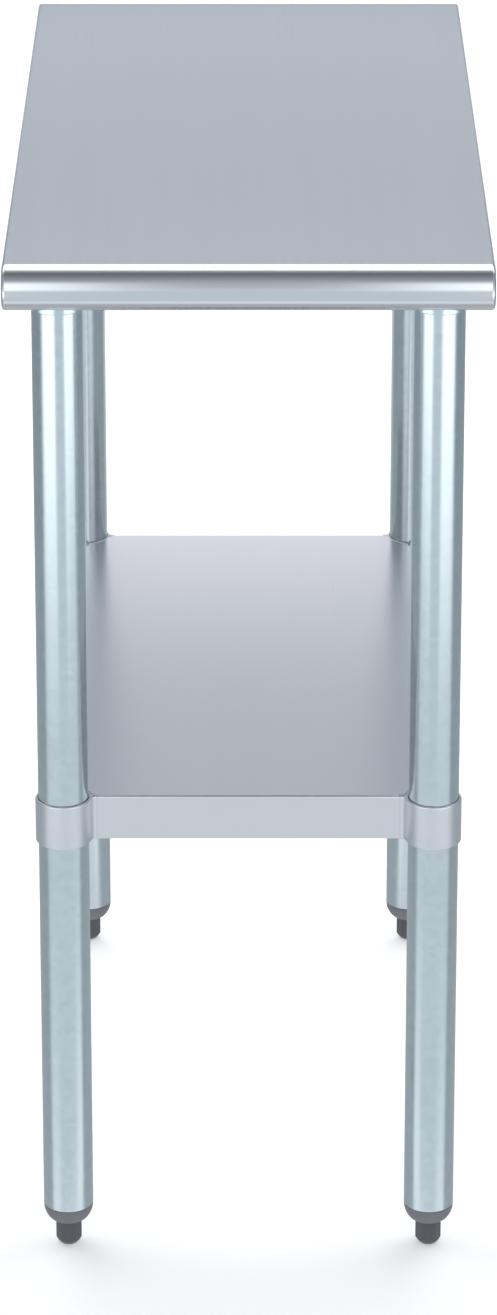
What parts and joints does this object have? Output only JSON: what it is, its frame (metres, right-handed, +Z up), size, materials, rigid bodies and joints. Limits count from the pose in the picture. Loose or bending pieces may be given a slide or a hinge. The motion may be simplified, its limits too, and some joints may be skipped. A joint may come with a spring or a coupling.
{
  "type": "stainless work table",
  "caption": "Narrow stainless work table with rolled front and rear edges, tube legs, an undershelf that slides on the legs and screw feet.",
  "frame": {"origin": "on the floor, under the middle of the table", "axes": "+Z up, +X right and -Y front; the long side of the top runs along Y"},
  "size_m": [0.381, 0.762, 0.896],
  "materials": {
    "stainless_top": "satin stainless",
    "shelf_steel": "satin stainless",
    "galvanized_steel": "smooth galvanized",
    "cast_aluminium": "satin cast",
    "zinc_plated_steel": "zinc plated",
    "grey_plastic": "moulded, fine grain",
    "dark_plastic": "moulded, fine grain"
  },
  "bodies": {
    "frame": {"top_sheet": "stainless_top", "cross_channel_front": "galvanized_steel", "cross_channel_rear": "galvanized_steel", "middle_channel": "galvanized_steel", "leg_socket_front_left": "galvanized_steel", "socket_screw_front_left": "zinc_plated_steel", "leg_tube_front_left": "galvanized_steel", "foot_insert_front_left": "grey_plastic", "foot_nut_front_left": "zinc_plated_steel", "leg_socket_front_right": "galvanized_steel", "socket_screw_front_right": "zinc_plated_steel", "leg_tube_front_right": "galvanized_steel", "foot_insert_front_right": "grey_plastic", "foot_nut_front_right": "zinc_plated_steel", "leg_socket_rear_right": "galvanized_steel", "socket_screw_rear_right": "zinc_plated_steel", "leg_tube_rear_right": "galvanized_steel", "foot_insert_rear_right": "grey_plastic", "foot_nut_rear_right": "zinc_plated_steel", "leg_socket_rear_left": "galvanized_steel", "socket_screw_rear_left": "zinc_plated_steel", "leg_tube_rear_left": "galvanized_steel", "foot_insert_rear_left": "grey_plastic", "foot_nut_rear_left": "zinc_plated_steel"},
    "undershelf": {"shelf_pan": "shelf_steel", "shelf_channel": "galvanized_steel", "shelf_collar_front_left": "cast_aluminium", "collar_screw_front_left": "zinc_plated_steel", "shelf_collar_front_right": "cast_aluminium", "collar_screw_front_right": "zinc_plated_steel", "shelf_collar_rear_right": "cast_aluminium", "collar_screw_rear_right": "zinc_plated_steel", "shelf_collar_rear_left": "cast_aluminium", "collar_screw_rear_left": "zinc_plated_steel"},
    "stem_front_left": {"foot_stem_front_left": "zinc_plated_steel"},
    "foot_front_left": {"hex_foot_front_left": "dark_plastic"},
    "stem_front_right": {"foot_stem_front_right": "zinc_plated_steel"},
    "foot_front_right": {"hex_foot_front_right": "dark_plastic"},
    "stem_rear_right": {"foot_stem_rear_right": "zinc_plated_steel"},
    "foot_rear_right": {"hex_foot_rear_right": "dark_plastic"},
    "stem_rear_left": {"foot_stem_rear_left": "zinc_plated_steel"},
    "foot_rear_left": {"hex_foot_rear_left": "dark_plastic"}
  },
  "joints": [
    {"name": "undershelf_height", "type": "slide", "parent": "frame", "child": "undershelf", "axis": [0, 0, 1], "range_m": [-0.3, 0.4]},
    {"name": "foot_travel_front_left", "type": "slide", "parent": "frame", "child": "stem_front_left", "axis": [0, 0, -1], "range_m": [0, 0.0245]},
    {"name": "foot_turn_front_left", "type": "hinge", "parent": "stem_front_left", "child": "foot_front_left", "pos_m": [-0.1511, -0.285, 0.011], "axis": [0, 0, -1], "range_deg": [0, 5042]},
    {"name": "foot_travel_front_right", "type": "slide", "parent": "frame", "child": "stem_front_right", "axis": [0, 0, -1], "range_m": [0, 0.0245]},
    {"name": "foot_turn_front_right", "type": "hinge", "parent": "stem_front_right", "child": "foot_front_right", "pos_m": [0.1511, -0.285, 0.011], "axis": [0, 0, -1], "range_deg": [0, 5042]},
    {"name": "foot_travel_rear_right", "type": "slide", "parent": "frame", "child": "stem_rear_right", "axis": [0, 0, -1], "range_m": [0, 0.0245]},
    {"name": "foot_turn_rear_right", "type": "hinge", "parent": "stem_rear_right", "child": "foot_rear_right", "pos_m": [0.1511, 0.285, 0.011], "axis": [0, 0, -1], "range_deg": [0, 5042]},
    {"name": "foot_travel_rear_left", "type": "slide", "parent": "frame", "child": "stem_rear_left", "axis": [0, 0, -1], "range_m": [0, 0.0245]},
    {"name": "foot_turn_rear_left", "type": "hinge", "parent": "stem_rear_left", "child": "foot_rear_left", "pos_m": [-0.1511, 0.285, 0.011], "axis": [0, 0, -1], "range_deg": [0, 5042]}
  ],
  "couplings": [
    {"joint": "foot_turn_front_left", "follows": "foot_travel_front_left", "rad_per_m": 3590.4},
    {"joint": "foot_turn_front_right", "follows": "foot_travel_front_right", "rad_per_m": 3590.4},
    {"joint": "foot_turn_rear_right", "follows": "foot_travel_rear_right", "rad_per_m": 3590.4},
    {"joint": "foot_turn_rear_left", "follows": "foot_travel_rear_left", "rad_per_m": 3590.4}
  ]
}
